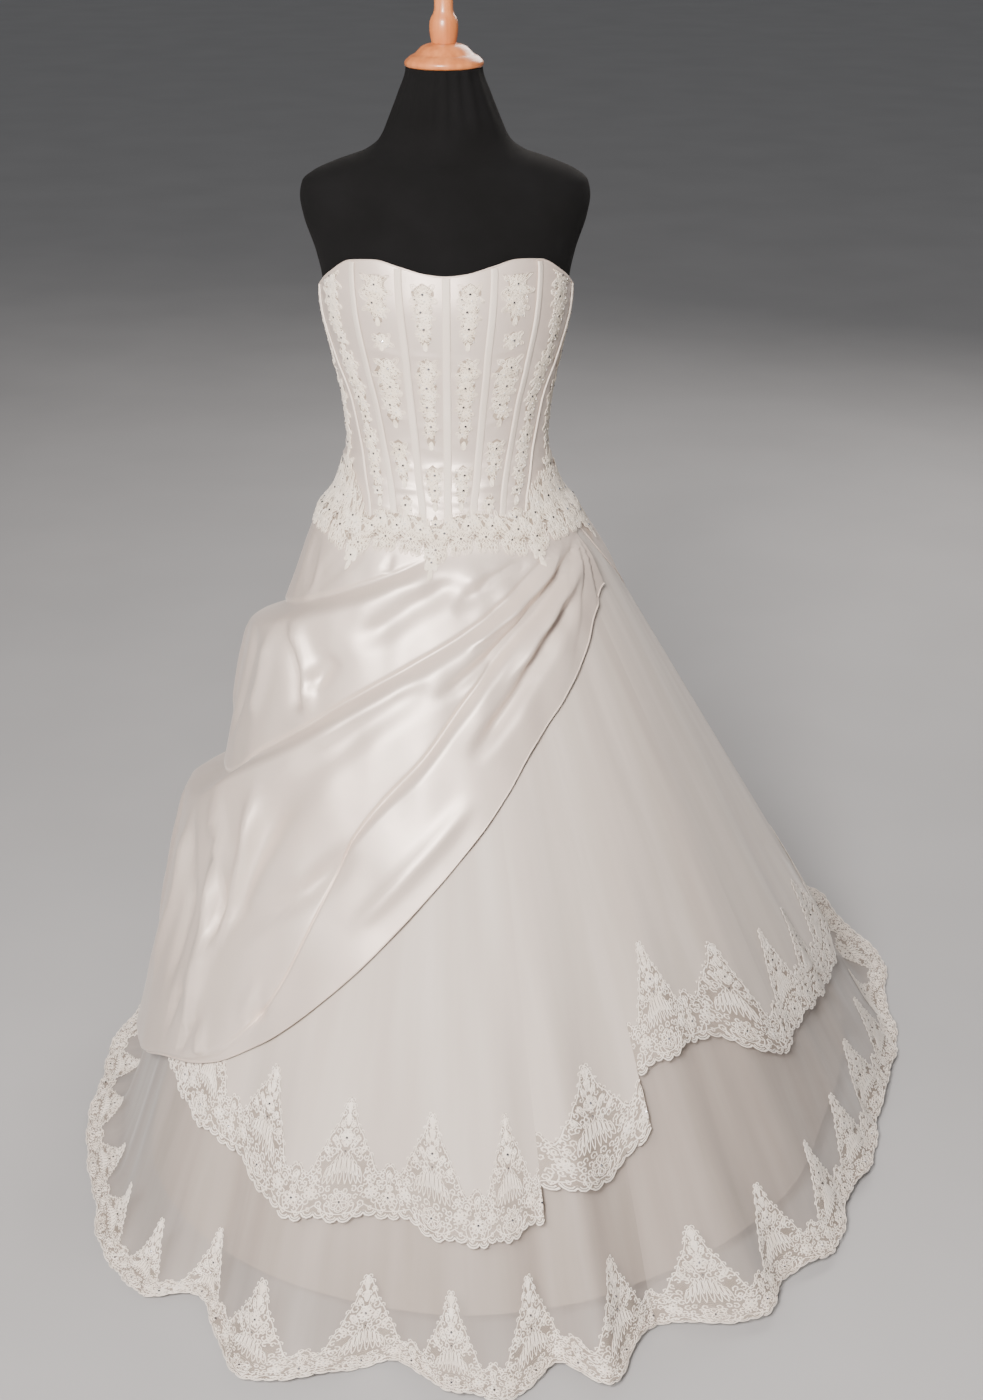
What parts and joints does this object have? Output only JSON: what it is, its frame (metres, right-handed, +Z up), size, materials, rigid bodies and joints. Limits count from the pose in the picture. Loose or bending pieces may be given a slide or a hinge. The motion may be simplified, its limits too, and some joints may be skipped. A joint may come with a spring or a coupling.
{
  "type": "ball gown on a dress form",
  "caption": "Strapless ball gown with a boned bodice, a satin drape gathered at one hip and tiered lace-edged skirts with a short train, on a limbless dress form.",
  "frame": {"origin": "centre of the flat underside of the dress form's round base", "axes": "+Z up along the pole, -Y towards the front of the gown, +X towards the wearer's left"},
  "size_m": [1.3677, 1.6686, 1.7466],
  "materials": {
    "satin": "ivory duchesse satin, soft sheen",
    "organza": "sheer ivory organza over a lining",
    "lining": "matt ivory lining",
    "lace": "corded off-white lace on fine tulle",
    "jersey": "matt black stretch jersey",
    "beech": "turned beech, clear satin varnish",
    "steel": "satin dark grey paint"
  },
  "bodies": {
    "root": {"base": "steel", "pole": "steel", "torso": "jersey", "neck_cap": "beech", "finial": "beech", "bodice_front_centre_l": "satin", "bodice_front_centre_r": "satin", "bodice_front_l": "satin", "bodice_front_r": "satin", "bodice_side_front_l": "satin", "bodice_side_front_r": "satin", "bodice_side_back_l": "satin", "bodice_side_back_r": "satin", "bodice_back_l": "satin", "bodice_back_r": "satin", "channel_centre": "satin", "channel_inner_l": "satin", "channel_inner_r": "satin", "channel_outer_l": "satin", "channel_outer_r": "satin", "piping_side_l": "satin", "piping_side_r": "satin", "channel_back_l": "satin", "channel_back_r": "satin", "applique_centre_l": "lace", "applique_centre_r": "lace", "applique_front_l": "lace", "applique_front_r": "lace", "applique_side_l": "lace", "applique_side_r": "lace", "underskirt_front": "lining", "underskirt_back": "lining", "lower_skirt_front": "organza", "lower_skirt_front_l": "organza", "lower_skirt_back_l": "organza", "lower_skirt_back": "organza", "lower_skirt_back_r": "organza", "lower_skirt_front_r": "organza", "lower_lace_front": "lace", "lower_lace_front_l": "lace", "lower_lace_back_l": "lace", "lower_lace_back": "lace", "lower_lace_back_r": "lace", "lower_lace_front_r": "lace", "upper_skirt_side_r": "organza", "upper_skirt_front": "organza", "upper_skirt_front_l": "organza", "upper_skirt_side_l": "organza", "upper_skirt_back": "organza", "upper_lace_side_r": "lace", "upper_lace_front": "lace", "upper_lace_front_l": "lace", "upper_lace_side_l": "lace", "upper_lace_back": "lace", "overskirt_drape": "satin", "overskirt_back_r": "satin", "overskirt_back_l": "satin", "waist_lace_front": "lace", "waist_lace_back": "lace"}
  },
  "joints": []
}
